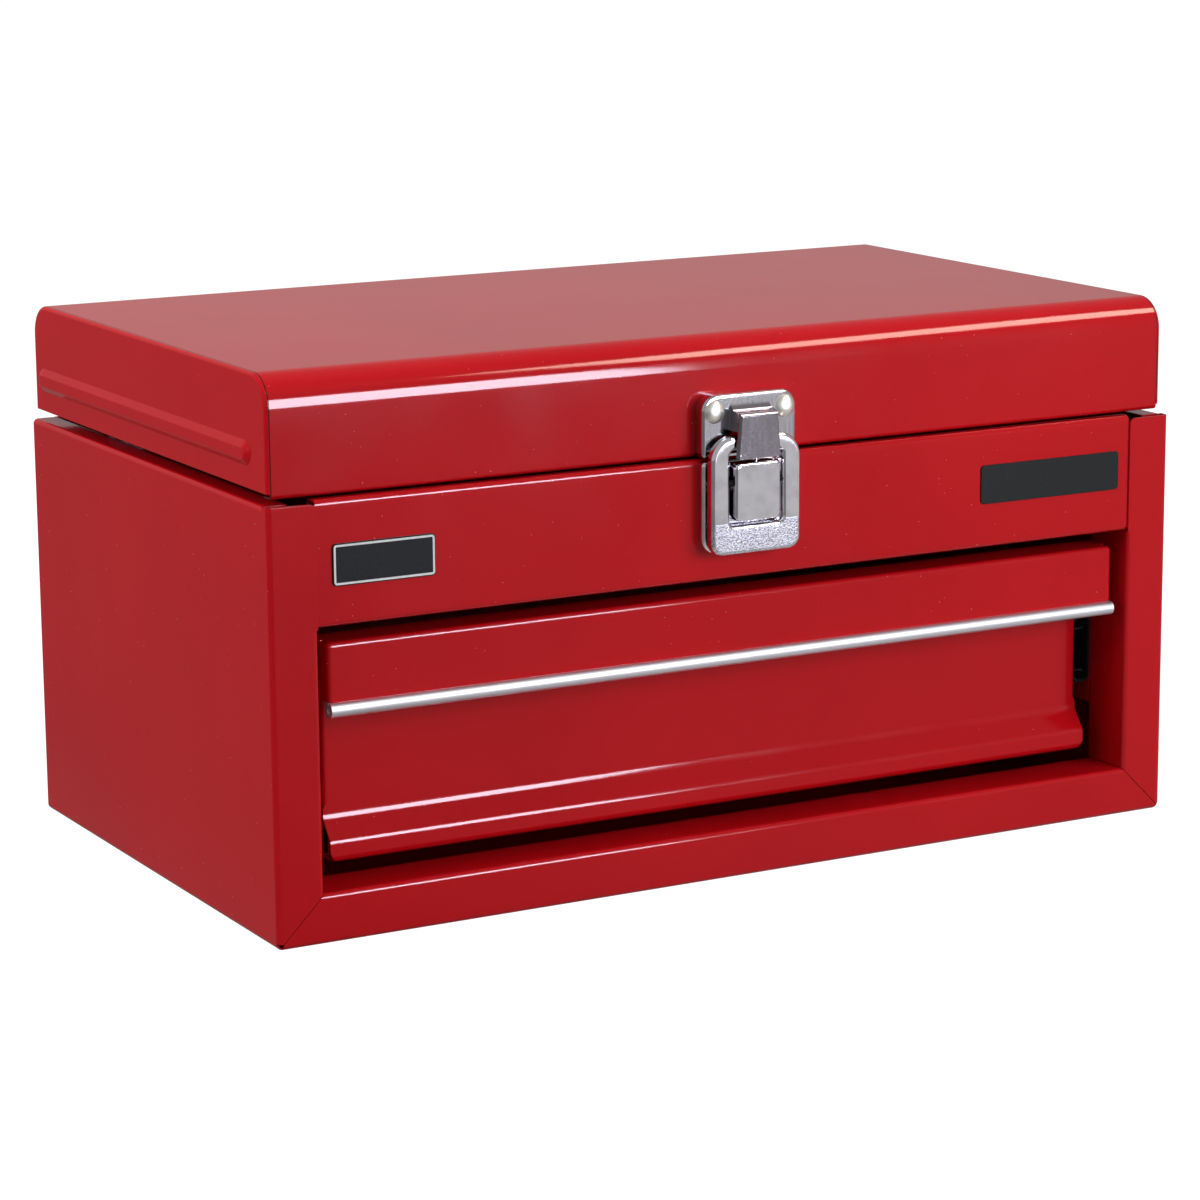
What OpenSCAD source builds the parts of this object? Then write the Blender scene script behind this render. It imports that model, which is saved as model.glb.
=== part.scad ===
// Portable steel tool chest: a folded sheet-metal body with one drawer on ball-bearing slides,
// a hinged lid over a top compartment, and a spring catch at the front.
// Millimetres. X runs along the front, Y from front to back, Z up.
// The origin is the centre of the base.

/* [Body] */
// Width over the side walls
body_w = 500; // [400:5:600]
// Depth from the front frame to the rear flanges
body_d = 294; // [250:2:340]
// Height of the side walls
body_h = 206.5; // [190:0.5:240]
// Thickness of the sheet steel
sheet_t = 1; // [0.8:0.1:1.2]
// Inside radius of the sharp folds
fold_r = 1.5; // [1:0.25:2]
// Inside radius of the folds between sides and bottom
base_r = 2; // [1.5:0.5:4]
// Width of the front frame: stiles and bottom rail
frame_w = 24; // [20:1:30]
// Depth of the frame's inward return
return_d = 30; // [24:1:36]
// Hem turned down at the back of the rail's return
rail_hem = 6; // [4:1:8]
// Width of the ledges turned in at the top
ledge_w = 12; // [8:1:14]
// Length of the open notch in each side ledge behind the front panel
ledge_notch = 6; // [4:1:8]
// Width of the flanges round the rear panel
rear_flange = 12; // [8:1:16]
// Height of the hem along the rear panel's top
rear_hem = 12; // [8:1:16]
// Radius of the stiles' inner corners at the top
stile_corner_r = 3; // [2:0.5:4]
// Width of the saw cut in each mitre of the frame
mitre_gap = 0.4; // [0.2:0.1:0.6]

/* [Front panel and compartment] */
// Height of the front panel under the lid
panel_h = 59; // [54:1:64]
// How far the front panel's top stands above the side walls
panel_rise = 1.4; // [1:0.2:2.4]
// Depth of the ledge at the front panel's top
panel_ledge = 9; // [7:0.5:12]
// Hem turned down behind that ledge
panel_hem = 6; // [5:0.5:9]
// Depth of the front panel's bottom return
panel_return = 10; // [6:1:14]
// Width of the flat tabs that hold the front panel behind the stiles
panel_tab = 12; // [8:1:16]
// Height of the flanges round the compartment floor
floor_flange = 12; // [8:1:16]

/* [Lid] */
// Height of the lid's front skirt
lid_h = 56.6; // [50:0.2:70]
// Gap between the front panel and the lid's front skirt
lid_gap = 1.2; // [1:0.2:2.4]
// How far the lid's side is inside the body's side
lid_inset = 2.3; // [1:0.1:4]
// How far the lid's front is behind the body's front
lid_setback = 5; // [3:0.5:6]
// Outside radius of the lid's front and rear bends
lid_r = 15.5; // [10:0.5:18]
// Gap between the lid's end plates and the side walls
end_gap = 5.3; // [4:0.1:7]
// Depth of the flange round each end plate
end_flange = 12; // [8:1:14]
// Outside radius of the end plate's rolled edge
end_edge_r = 2; // [1.5:0.25:3]
// Hem turned in at the bottom of the front skirt
skirt_hem = 8; // [6:1:12]

/* [Lid end ribs] */
// Height of the pressed rib on each end plate
rib_h = 12; // [8:1:14]
// How far the rib stands out
rib_out = 2.2; // [1:0.2:2.3]
// Height of the rib's centre line above the bottom of the end plate
rib_z = 16; // [12:1:24]
// Distance from the rib's front end to the lid's front
rib_front = 17; // [8:1:30]
// Distance from the rib's rear end to the lid's rear
rib_rear = 7; // [6:1:30]

/* [Hinge] */
// Outside radius of the hinge knuckles
knuckle_r = 2.5; // [2:0.1:3]
// Radius of the hinge pin
hinge_pin_r = 1.1; // [0.8:0.1:1.2]
// Distance from each end of the hinge to the side of the body
hinge_end_gap = 40; // [30:2:120]
// Number of knuckles, an odd number
knuckles = 11; // [5:2:21]
// Height of each hinge leaf
leaf_h = 24; // [16:1:30]
// How far the lid opens, in degrees
lid_open = 95; // [60:5:100]

/* [Drawer] */
// Height of the gap above and below the drawer front
drawer_gap = 8; // [6:0.5:10]
// Gap beside the drawer's pull
pull_side_gap = 6; // [4:0.5:10]
// Gap beside the drawer's recessed face
face_side_gap = 12; // [8:0.5:12.5]
// How far the pull's face is behind the body's front
pull_setback = 5; // [4:0.5:8]
// Height of the pull, from its top to the lip in the trim
pull_h = 34; // [28:1:40]
// How far the recessed face is behind the pull's face
finger_depth = 21.6; // [18:0.2:26]
// How far the foot of the face sweeps forward
sweep_out = 8; // [6:0.5:14]
// Height of the sweep at the foot of the face
sweep_h = 20; // [16:1:26]
// Inside radius of the sweep's two curves
sweep_r = 8; // [5:0.5:9]
// How far the drawer tray ends before its slides do
tray_end_gap = 3.5; // [2:0.5:12]
// Gap between the drawer tray and the compartment floor
tray_top_gap = 22; // [12:1:60]
// Hem turned in at the top of the tray's sides
tray_hem = 6; // [5:0.5:8]
// Depth of the folds at the ends of the recessed face
face_return = 3; // [2.5:0.1:3]
// Depth of the cheeks at the ends of the pull
pull_cheek = 8; // [6:0.5:10]
// Depth of the foot that carries the tray
foot_back = 8; // [6:0.5:12]
// Radius of the drawer front's lower corners
face_corner_r = 6; // [4:0.5:8]
// Diameter of the pull's trim
trim_d = 7; // [6:0.5:9]
// Wall of the trim
trim_t = 1; // [0.8:0.1:1.2]
// How far the trim ends inside the end of the pull
trim_end_gap = 0.5; // [0.2:0.1:2]

/* [Drawer slides] */
// Thickness of a closed slide, between side panel and drawer
slide_w = 12.7; // [12.7:0.1:13.5]
// Height of a slide
slide_h = 35; // [33:1:40]
// Gap between the slides and what is in front of them, the frame's return or the drawer front
slide_front_gap = 1; // [0.5:0.5:4]
// Gap between the slides and the rear panel
slide_rear_gap = 11; // [6:1:30]
// Height of the slides' centre line
slide_z = 82; // [70:1:96]
// Thickness of the slide's steel
slide_t = 1.2; // [1:0.1:1.4]
// Radius of the bearing balls
ball_r = 2.3; // [2:0.1:2.4]
// Balls in each of a slide's two rows
row_balls = 6; // [4:1:7]
// Length of the ball retainers; the drawer opens by the length of a slide less this
retainer_l = 70; // [50:5:120]
// Thickness of the ball retainers
retainer_t = 0.6; // [0.5:0.1:0.7]
// Height of the channels that carry the slides
channel_h = 60; // [50:1:70]
// Height of the channels' weld lips
channel_lip = 8; // [6:1:12]
// Radius of the rivets between runners and tray
drawer_rivet_r = 2; // [1.5:0.1:2.5]

/* [Latch] */
// Width of the latch's two plates
latch_w = 52; // [48:1:60]
// Depth of the rim behind the base plate
plate_rim = 4; // [3:0.5:4.5]
// Thickness of the latch's steel
latch_t = 1; // [0.8:0.1:1.2]
// Height of the strike plate on the lid
strike_h = 30; // [28:1:36]
// Height of the base plate on the body
base_h = 45; // [42:1:48]
// Gap between the base plate's top and the top of the front panel
base_top_gap = 0.4; // [0.2:0.1:1]
// Radius of the plates' corners
plate_corner_r = 8; // [6:0.5:10]
// Width of the catch hood at its lip
hood_w = 24.8; // [20:0.2:26]
// Width of the catch hood at its top
hood_top_w = 21.6; // [18:0.2:24]
// How far the hood stands out from the strike plate's face
hood_out = 9.5; // [9:0.5:11]
// Height of the catch lip below the hood's cheeks
lip_h = 12.8; // [12:0.2:14]
// Height of the hood's front, lip included
hood_h = 21.5; // [20:0.5:24]
// Rise of the hood's top towards the plate
hood_slope = 1; // [0.5:0.5:4]
// Reach of the flare where the hood's top runs into the plate
hood_root = 2.5; // [1:0.5:4]
// Radius of the hood's edges
hood_edge_r = 2; // [1.5:0.1:3]
// How far the bead along the hood's lip stands out
bead_out = 0.3; // [0.2:0.1:0.5]
// Height of that bead
bead_h = 1.6; // [1:0.2:2.4]
// Gap between the block under the hood and the strike plate
block_top_gap = 2.4; // [2:0.2:4]
// Gap between the block and the foot of the lever's window
block_foot_gap = 2.2; // [1.6:0.2:3]
// Width of the lever ring
lever_w = 49.4; // [46:0.2:52]
// Width of the window in the lever
window_w = 29.4; // [28:0.2:32]
// Depth of the lever's pressing
lever_depth = 4.8; // [4.4:0.1:6]
// Height of the bar at the lever's foot
lever_foot = 14; // [12:0.5:18]
// Height of the bar at the lever's top
lever_bar = 7; // [6:0.5:9]
// How far the lever swings out, in degrees
lever_swing = 5; // [3:0.5:8]
// Distance of the lever's pin below the top of the block
pivot_drop = 9.6; // [8:0.2:11]
// Radius of the lever's corners at the foot
lever_corner_r = 6.5; // [5:0.5:8]
// Radius of the lever's shoulders at the top
lever_shoulder_r = 12; // [9:0.5:13]
// Radius of the rolled edges on the lever
lever_edge_r = 2.2; // [1.5:0.1:2.4]
// Radius of the latch's pivot pin
latch_pin_r = 1.5; // [1.2:0.1:1.8]
// Radius of the rivet heads
rivet_head_r = 5.5; // [4:0.1:6]
// Height of the rivet heads
rivet_head_h = 2.8; // [1.5:0.1:3.2]
// Distance of the rivet heads from the strike plate's sides
rivet_side_gap = 1; // [0.6:0.2:3]
// Distance of the rivet heads from the strike plate's top
rivet_top_gap = 2.6; // [1.6:0.2:6]
// Radius of the rivet shanks
rivet_r = 2; // [1.5:0.1:2.2]
// Radius of the heads on the base plate's rivets, under the lever
base_rivet_head_r = 3.2; // [2.6:0.1:3.3]
// Height of the heads on the base plate's rivets
base_rivet_head_h = 1.6; // [1:0.1:1.7]
// Distance of the base plate's rivets below the lever's pin
base_rivet_drop = 4; // [3:0.5:8]
// Radius of the spring's wire
spring_wire_r = 0.4; // [0.3:0.05:0.5]
// Turns of the spring
spring_turns = 5; // [3:1:7]

/* [Lid stay] */
// Width of the stay strip
stay_w = 9; // [8:0.5:11]
// Thickness of the stay strip
stay_t = 1.5; // [1:0.25:2]
// Gap between the closed stay and the compartment floor
stay_gap = 1.4; // [1:0.2:4]
// Radius of the stay's studs
stud_r = 2; // [1.5:0.1:2.2]

/* [Hidden] */

paint = "firebrick";
chrome = "silver";
zinc = "lightsteelblue";
blacking = "darkslategray";

run = 0.05;           // radial clearance of a pin that turns in its hole
free = 0.3;           // clearance between pieces that pass each other
over = 0.5;           // how far joined solids run into each other
reach = body_w + body_d;    // longer than any cut has to be

front_y = -body_d / 2;
rear_y = body_d / 2;
half_w = body_w / 2;
open_x = half_w - frame_w;                    // half the width of the drawer opening
fold_out = fold_r + sheet_t;                  // outside radius of a sharp fold
base_out = base_r + sheet_t;                  // outside radius of the base folds

panel_y = front_y + sheet_t;                  // front of the front panel, behind the stiles
panel_top = body_h + panel_rise;
panel_z = panel_top - panel_h;                // bottom of the front panel
floor_z = panel_z + sheet_t;                  // underside of the compartment floor

lid_z = panel_top + lid_gap;                  // bottom of the front skirt
lid_top = lid_z + lid_h;
lid_x = half_w - lid_inset;
lid_y0 = front_y + lid_setback;
lid_y1 = rear_y - sheet_t;
end_z = body_h + end_gap;

// Hinge: both leaves lie inside the rear panel and the lid's rear skirt, in one plane.
leaf_y = rear_y - 3 * sheet_t;
hinge_y = leaf_y + knuckle_r;
hinge_z = body_h + knuckle_r + over;
lid_rear_z = hinge_z + knuckle_r + over;
hinge_l = body_w - 2 * hinge_end_gap;
knuckle_pitch = hinge_l / knuckles;

face_y = front_y + pull_setback + finger_depth;      // front of the drawer's recessed face
pull_y = front_y + pull_setback;                     // front of the pull
pull_x = open_x - pull_side_gap;
face_x = open_x - face_side_gap;
drawer_x = open_x - slide_w;                         // half the width of the drawer tray
drawer_z = frame_w + drawer_gap;
drawer_top = panel_z - drawer_gap - free;
lip_z = drawer_top - pull_h;                         // bottom edge of the pull
tray_y0 = face_y + sheet_t;
tray_z = drawer_z + sheet_t;
tray_top = floor_z - tray_top_gap;

slide_y0 = max(front_y + return_d, face_y + face_return) + slide_front_gap;
slide_y1 = rear_y - 2 * sheet_t - slide_rear_gap;
slide_l = slide_y1 - slide_y0;
tray_y1 = slide_y1 - tray_end_gap;
drawer_travel = slide_l - retainer_l;                // retainers stay between both halves
ball_x = slide_w / 2;                                // ball centres, from the channel
ball_z = slide_h / 2 - slide_t - ball_r - run;       // ball centres, from the centre line
race_z = ball_z - ball_r - run;                      // top of the runner's race
retainer_y0 = slide_y0 + drawer_travel / 2;
ball_pitch = retainer_l / row_balls;
ball_ys = [for (i = [0:row_balls - 1]) retainer_y0 + ball_pitch * (i + 0.5)];
rivet_ys = [slide_y0 + 20, (slide_y0 + slide_y1) / 2, slide_y1 - 20];

// Latch: the faces of both plates are flush.
base_face_y = panel_y - plate_rim;
strike_face_y = base_face_y;
strike_rim = lid_y0 - strike_face_y;
hood_y = strike_face_y - hood_out;                   // front of the hood
hood_taper = atan((hood_w - hood_top_w) / 2 / hood_h);
base_top = panel_top - base_top_gap;
base_z = base_top - base_h;
strike_z = lid_z;
rivet_x = max(latch_w / 2 - rivet_head_r - rivet_side_gap, hood_w / 2 + rivet_head_r + free);
strike_rivet_z = strike_z + strike_h - rivet_head_r - rivet_top_gap;
plate_edge_r = 1.8;                                  // rolled edges of both plates
plate_square_r = 2.4;                                // corners where the two plates meet
block_z1 = strike_z - block_top_gap;
block_corner_r = 2.7;
block_edge_r = 1.5;
lever_z1 = strike_z + lip_h - 2.2;
lever_z0 = base_z;
window_z0 = lever_z0 + lever_foot;
window_z1 = lever_z1 - lever_bar;
window_r = 3;
block_z0 = window_z0 + block_foot_gap;
lever_arm_x = (lever_w + window_w) / 4;              // middle of each arm
pivot_z = block_z1 - pivot_drop;
base_rivet_z = pivot_z - base_rivet_drop;

// Torsion spring on the pivot pin
spring_r = latch_pin_r + free + spring_wire_r;
spring_pitch = 2 * spring_wire_r + 0.1;
spring_x0 = -spring_turns * spring_pitch / 2;
spring_x1 = -spring_x0;
spring_top = window_z1 + lever_bar / 3;              // end of the leg behind the lever's bar
spring_slot = 2 * spring_wire_r + 2 * free;

// The lever's bar and the spring's leg behind it move back as the foot swings out. Both stay
// clear of the plates.
bar_depth = lever_depth / 2 + latch_pin_r + free - run;
bar_gap = (lever_z1 - pivot_z) * sin(lever_swing) - lever_depth + bar_depth;
leg_gap = (spring_top - pivot_z) * sin(lever_swing) + spring_r + spring_wire_r - lever_depth / 2;
lever_back_y = base_face_y - free - max(bar_gap, leg_gap);
lever_y = lever_back_y - lever_depth;                // front of the lever
pivot_y = lever_back_y - lever_depth / 2;
spring_leg_y = pivot_y + spring_r;
bar_back_y = lever_y + bar_depth;                    // back of the lever's bar
block_y = pivot_y - spring_r - spring_wire_r - free - latch_t;

// Lid stay: the two studs stand equally far from the hinge axis, so the strip turns at half
// the lid's rate and its slot slides along the body's stud.
collar_r = stud_r + 1;
stay_rise = knuckle_r + over + fold_out + collar_r;  // the body's collar clears the ledge's fold
slot_r = stud_r + free;
stay_tip = max(stay_w / 2, slot_r + 2);
stay_far = hinge_z + stay_rise - floor_z - sheet_t - stay_gap - free - stay_tip;
stay_run = (stay_far / 2 - stay_rise * cos(lid_open / 2)) / sin(lid_open / 2);
stay_y = hinge_y - stay_run;
stay_x = half_w - ledge_w - 6;                       // inner face of the strip

// ---- Sections of folded sheet ----

function unit(v) = v / norm(v);
function left_of(v) = [-v[1], v[0]];
function backwards(p) = [for (i = [len(p) - 1:-1:0]) p[i]];

// Arc that rounds the corner p between its neighbours a and b.
function corner_arc(a, p, b, r, n) =
    let (u = unit(a - p), v = unit(b - p), half = acos(u * v) / 2,
         c = p + unit(u + v) * r / sin(half),
         s = p + u * r / tan(half) - c, e = p + v * r / tan(half) - c,
         a0 = atan2(s[1], s[0]), raw = atan2(e[1], e[0]) - a0,
         sweep = raw > 180 ? raw - 360 : raw < -180 ? raw + 360 : raw)
    [for (i = [0:n]) c + r * [cos(a0 + sweep * i / n), sin(a0 + sweep * i / n)]];

function rounded_line(p, radii, n) =
    [for (i = [0:len(p) - 1])
        each (i == 0 || i == len(p) - 1) ? [p[i]]
             : corner_arc(p[i - 1], p[i], p[i + 1], radii[i], n)];

// 1 where the line turns left, and -1 where it turns right.
function turn(p, i) = cross(p[i] - p[i - 1], p[i + 1] - p[i]) > 0 ? 1 : -1;

function offset_corner(p, i, t) =
    let (u = unit(p[i - 1] - p[i]), v = unit(p[i + 1] - p[i]), half = acos(u * v) / 2)
    p[i] + turn(p, i) * unit(u + v) * t / sin(half);

// Section of a sheet folded along the line p, with its thickness t on the left of the line.
// Each r is the inside radius of the fold at that point.
function folded(p, t, r, n = 6) =
    let (last = len(p) - 1,
         inner = [for (i = [0:last])
                      i == 0 ? p[0] + left_of(unit(p[1] - p[0])) * t
                    : i == last ? p[last] + left_of(unit(p[last] - p[last - 1])) * t
                    : offset_corner(p, i, t)],
         own = [for (i = [0:last])
                    i == 0 || i == last ? 0 : turn(p, i) > 0 ? r[i] + t : r[i]],
         other = [for (i = [0:last])
                      i == 0 || i == last ? 0 : turn(p, i) > 0 ? r[i] : r[i] + t])
    concat(rounded_line(p, own, n), backwards(rounded_line(inner, other, n)));

module along_x(x0, x1) {
    translate([x0, 0, 0]) rotate([90, 0, 90]) linear_extrude(x1 - x0) children();
}

module along_y(y0, y1) {
    translate([0, y1, 0]) rotate([90, 0, 0]) linear_extrude(y1 - y0) children();
}

module along_z(z0, z1) {
    translate([0, 0, z0]) linear_extrude(z1 - z0) children();
}

module mirrored() {
    children();
    mirror([1, 0, 0]) children();
}

module rod_x(x0, x1, r, y, z) {
    translate([x0, y, z]) rotate([0, 90, 0]) cylinder(r = r, h = x1 - x0, $fn = 48);
}

module rod_y(y0, y1, r, x, z) {
    translate([x, y0, z]) rotate([-90, 0, 0]) cylinder(r = r, h = y1 - y0, $fn = 48);
}

// ---- Pressed plates with a rolled rim ----

// Section of the rim. Its outer wall is at X 0, its face at Y 0, and its depth runs down.
module rim_section(depth, t, edge_r) {
    polygon(concat(
        [[-edge_r - over, -t], [-edge_r - over, 0]],
        [for (i = [0:6]) [-edge_r + edge_r * sin(i * 15), -edge_r + edge_r * cos(i * 15)]],
        [[0, -depth], [-t, -depth]],
        [for (i = [6:-1:0]) [-edge_r + (edge_r - t) * sin(i * 15),
                             -edge_r + (edge_r - t) * cos(i * 15)]]));
}

// Carries a section round the box from [x0, y0] to [x1, y1]. r0 rounds the two corners at
// y0, and r1 the two at y1. A window's rim has its sheet outside the box.
module rim_around(x0, y0, x1, y1, r0, r1, window = false) {
    flip = [window ? 1 : 0, 0];
    for (c = [[x1 - r0, y0 + r0, r0, -90], [x1 - r1, y1 - r1, r1, 0],
              [x0 + r1, y1 - r1, r1, 90], [x0 + r0, y0 + r0, r0, 180]])
        translate([c[0], c[1], 0]) rotate([0, 0, c[3]]) rotate_extrude(angle = 90, $fn = 64)
            translate([c[2], 0]) mirror(flip) children();
    translate([x1, y1 - r1, 0]) rotate([90, 0, 0])
        linear_extrude(y1 - r1 - y0 - r0) mirror(flip) children();
    mirror([1, 0, 0]) translate([-x0, y1 - r1, 0]) rotate([90, 0, 0])
        linear_extrude(y1 - r1 - y0 - r0) mirror(flip) children();
    translate([x0 + r1, y1, 0]) rotate([90, 0, 90])
        linear_extrude(x1 - x0 - 2 * r1) mirror(flip) children();
    mirror([0, 1, 0]) translate([x0 + r0, -y0, 0]) rotate([90, 0, 90])
        linear_extrude(x1 - x0 - 2 * r0) mirror(flip) children();
}

// Plate from [x0, y0] to [x1, y1] with its face at Z 0 and a rim behind it all round.
module pressed_plate(x0, y0, x1, y1, r0, r1, depth, t, edge_r) {
    inset = edge_r + over / 2;
    rim_around(x0, y0, x1, y1, r0, r1) rim_section(depth, t, edge_r);
    translate([0, 0, -t]) linear_extrude(t)
        polygon(rounded_box(x0 + inset, y0 + inset, x1 - inset, y1 - inset,
                            max(r0 - inset, 0.1), max(r1 - inset, 0.1)));
}

function rounded_box(x0, y0, x1, y1, r0, r1, n = 8) = concat(
    quarter([x1 - r0, y0 + r0], r0, -90, n), quarter([x1 - r1, y1 - r1], r1, 0, n),
    quarter([x0 + r1, y1 - r1], r1, 90, n), quarter([x0 + r0, y0 + r0], r0, 180, n));

function quarter(c, r, a0, n) =
    [for (i = [0:n]) c + r * [cos(a0 + 90 * i / n), sin(a0 + 90 * i / n)]];

// Turns a plate drawn in XY to face the front, with its face at y.
module facing_front(y) {
    translate([0, y, 0]) rotate([90, 0, 0]) children();
}

// ---- Body ----

// Region on one side of the left corner's 45 degree line, the side with the larger Z first.
module mitre(above, gap) {
    side = above ? 1 : -1;
    far = 3 * frame_w;
    along_y(-reach, reach)
        polygon([[-half_w - far, -far - side * gap], [-half_w + far, far - side * gap],
                 above ? [-half_w - far, far - gap] : [-half_w + far, gap - far]]);
}

// Sides, bottom and side ledges: one sheet.
module shell_wrap() {
    inner_y0 = front_y + fold_out - over;
    inner_y1 = rear_y - fold_out + over;
    along_y(inner_y0, inner_y1)
        polygon(folded([[-half_w, body_h - fold_out], [-half_w, 0],
                        [half_w, 0], [half_w, body_h - fold_out]],
                       sheet_t, [0, base_r, base_r, 0]));
    along_y(front_y + ledge_notch, inner_y1)
        polygon(folded([[-half_w + ledge_w, body_h], [-half_w, body_h], [-half_w, 0],
                        [half_w, 0], [half_w, body_h], [half_w - ledge_w, body_h]],
                       sheet_t, [0, fold_r, base_r, base_r, fold_r, 0]));
    mirrored() along_y(inner_y0, front_y + ledge_notch + over)
        translate([half_w - sheet_t, base_out]) square([sheet_t, body_h - base_out]);
}

// The left stile: a front flange, and beside the drawer its return.
module stile() {
    stub = [-half_w, front_y + fold_out];
    edge = [-half_w, front_y];
    split_z = panel_z - free;
    along_z(base_out, split_z)
        polygon(folded([stub, edge, [-open_x, front_y], [-open_x, front_y + return_d]],
                       sheet_t, [0, fold_r, fold_r, 0]));
    difference() {
        along_z(split_z - over, body_h)
            polygon(folded([stub, edge, [-open_x - free, front_y]], sheet_t, [0, fold_r, 0]));
        translate([-open_x - free, front_y + 2 * sheet_t, body_h]) rotate([90, 0, 0])
            linear_extrude(3 * sheet_t) difference() {
                translate([-stile_corner_r, -stile_corner_r]) square(2 * stile_corner_r);
                translate([-stile_corner_r, -stile_corner_r]) circle(stile_corner_r, $fn = 48);
            }
    }
}

module rail() {
    along_x(-half_w + base_out, half_w - base_out)
        polygon(folded([[front_y + return_d, frame_w - rail_hem],
                        [front_y + return_d, frame_w], [front_y, frame_w],
                        [front_y, 0], [front_y + fold_out, 0]], sheet_t,
                       [0, fold_r, fold_r, fold_r, 0]));
}

module rear_rim() {
    mirrored() difference() {
        along_z(base_out, body_h - fold_out)
            polygon(folded([[-half_w + rear_flange, rear_y], [-half_w, rear_y],
                            [-half_w, rear_y - fold_out]], sheet_t, [0, fold_r, 0]));
        mitre(false, mitre_gap / 2);
    }
    difference() {
        along_x(-half_w + base_out, half_w - base_out)
            polygon(folded([[rear_y - fold_out, 0], [rear_y, 0], [rear_y, rear_flange]],
                           sheet_t, [0, fold_r, 0]));
        mirrored() mitre(true, mitre_gap / 2);
    }
}

module body_shell() {
    color(paint) {
        shell_wrap();
        mirrored() difference() {
            stile();
            mitre(false, mitre_gap / 2);
        }
        difference() {
            rail();
            mirrored() mitre(true, mitre_gap / 2);
        }
        rear_rim();
    }
}

module rear_panel() {
    y = rear_y - 2 * sheet_t;
    x = half_w - fold_out - free;
    hem_x = half_w - rear_flange - free;
    hem_z = body_h - rear_hem;
    color(paint) {
        along_x(-x, x) translate([y, base_out]) square([sheet_t, body_h - sheet_t - base_out]);
        along_x(-hem_x, hem_x)
            polygon(rounded_line([[y, hem_z], [y, body_h], [y + 2 * sheet_t, body_h],
                                  [y + 2 * sheet_t, hem_z]],
                                 [0, 0.9 * sheet_t, 0.9 * sheet_t, 0], 4));
    }
}

module front_panel() {
    x = open_x;
    hem_y = panel_y + panel_ledge;
    color(paint) difference() {
        union() {
            along_x(-x, x)
                polygon(folded([[hem_y, panel_top - panel_hem], [hem_y, panel_top],
                                [panel_y, panel_top], [panel_y, panel_z],
                                [panel_y + panel_return, panel_z]], sheet_t,
                               [0, fold_r, fold_r, fold_r, 0]));
            mirrored() translate([x - over, panel_y, panel_z + fold_out])
                cube([panel_tab + over, sheet_t, panel_h - 3 * fold_out]);
        }
        mirrored() rod_y(panel_y - over, panel_y + sheet_t + over, rivet_r + run,
                         lever_arm_x, base_rivet_z);
    }
}

// A pan that fills the body from side to side and from the front panel to the rear panel.
module compartment_floor() {
    x = half_w - sheet_t;
    y0 = panel_y + sheet_t;
    y1 = rear_y - 2 * sheet_t;
    z1 = floor_z + floor_flange;
    color(paint) {
        along_y(y0 + fold_out, y1 - fold_out)
            polygon(folded([[-x, z1], [-x, floor_z], [x, floor_z], [x, z1]], sheet_t,
                           [0, fold_r, fold_r, 0]));
        along_x(-x + fold_out, x - fold_out)
            polygon(folded([[y0, z1], [y0, floor_z], [y1, floor_z], [y1, z1]], sheet_t,
                           [0, fold_r, fold_r, 0]));
    }
}

// ---- Drawer slides, drawn for the right side ----

// Channel welded to the side wall that carries a slide level with the edge of the opening.
module slide_panel() {
    wall = half_w - sheet_t;
    z0 = slide_z - channel_h / 2;
    z1 = slide_z + channel_h / 2;
    color(paint) along_y(slide_y0, slide_y1)
        polygon(folded([[wall - sheet_t, z1 + channel_lip], [wall - sheet_t, z1],
                        [open_x, z1], [open_x, z0],
                        [wall - sheet_t, z0], [wall - sheet_t, z0 - channel_lip]],
                       sheet_t, [0, fold_r, fold_r, fold_r, fold_r, 0]));
}

// Places a section drawn with X from the channel towards the drawer and Y up from the
// slide's centre line.
module along_slide(y0, y1) {
    translate([open_x, 0, slide_z]) mirror([1, 0, 0]) along_y(y0, y1) children();
}

race_slope = ball_r;                          // run and rise of the rail's sloping races

function upside_down(p) = [for (q = p) [q[0], -q[1]]];

module slide_rail() {
    top = slide_h / 2;
    x1 = ball_x + ball_z - top + race_slope + sqrt(2) * (ball_r + run + slide_t);
    upper = [[0, top - race_slope], [race_slope, top], [x1 - race_slope, top],
             [x1, top - race_slope]];
    color(blacking) along_slide(slide_y0, slide_y1)
        polygon(folded(concat(backwards(upper), upside_down(upper)), slide_t,
                       [0, 0.5, 0.5, 0.5, 0.5, 0.5, 0.5, 0], 3));
}

module slide_runner() {
    lip = 0.35 * ball_r;
    corner_x = ball_x + ball_z - race_z - sqrt(2) * (ball_r + run);
    upper = [[corner_x - lip, race_z + lip], [corner_x, race_z], [slide_w, race_z]];
    color(blacking) difference() {
        along_slide(slide_y0, slide_y1)
            polygon(folded(concat(upside_down(upper), backwards(upper)), slide_t,
                           [0, 0.4, 0.8, 0.8, 0.4, 0], 3));
        drawer_rivet_holes();
    }
}

// Holes through runner and tray wall on the right side.
module drawer_rivet_holes() {
    for (y = rivet_ys)
        rod_x(drawer_x - 2 * sheet_t, drawer_x + 2 * slide_t, drawer_rivet_r + run, y, slide_z);
}

module ball_retainer() {
    x0 = slide_t + 0.5;
    x1 = ball_x + ball_r + 0.6;
    top = ball_z + retainer_t / 2;
    color("gainsboro") difference() {
        along_slide(retainer_y0, retainer_y0 + retainer_l)
            polygon(folded([[x1, top], [x0, top], [x0, -top], [x1, -top]], retainer_t,
                           [0, 0.4, 0.4, 0], 3));
        for (y = ball_ys) translate([open_x - ball_x, y, slide_z - top - over])
            cylinder(r = ball_r + 0.08, h = 2 * top + 2 * over, $fn = 32);
    }
}

module slide_balls() {
    color(chrome) for (y = ball_ys, side = [-1, 1])
        translate([open_x - ball_x, y, slide_z + side * ball_z]) sphere(ball_r, $fn = 24);
}

// ---- Lid ----

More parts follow.
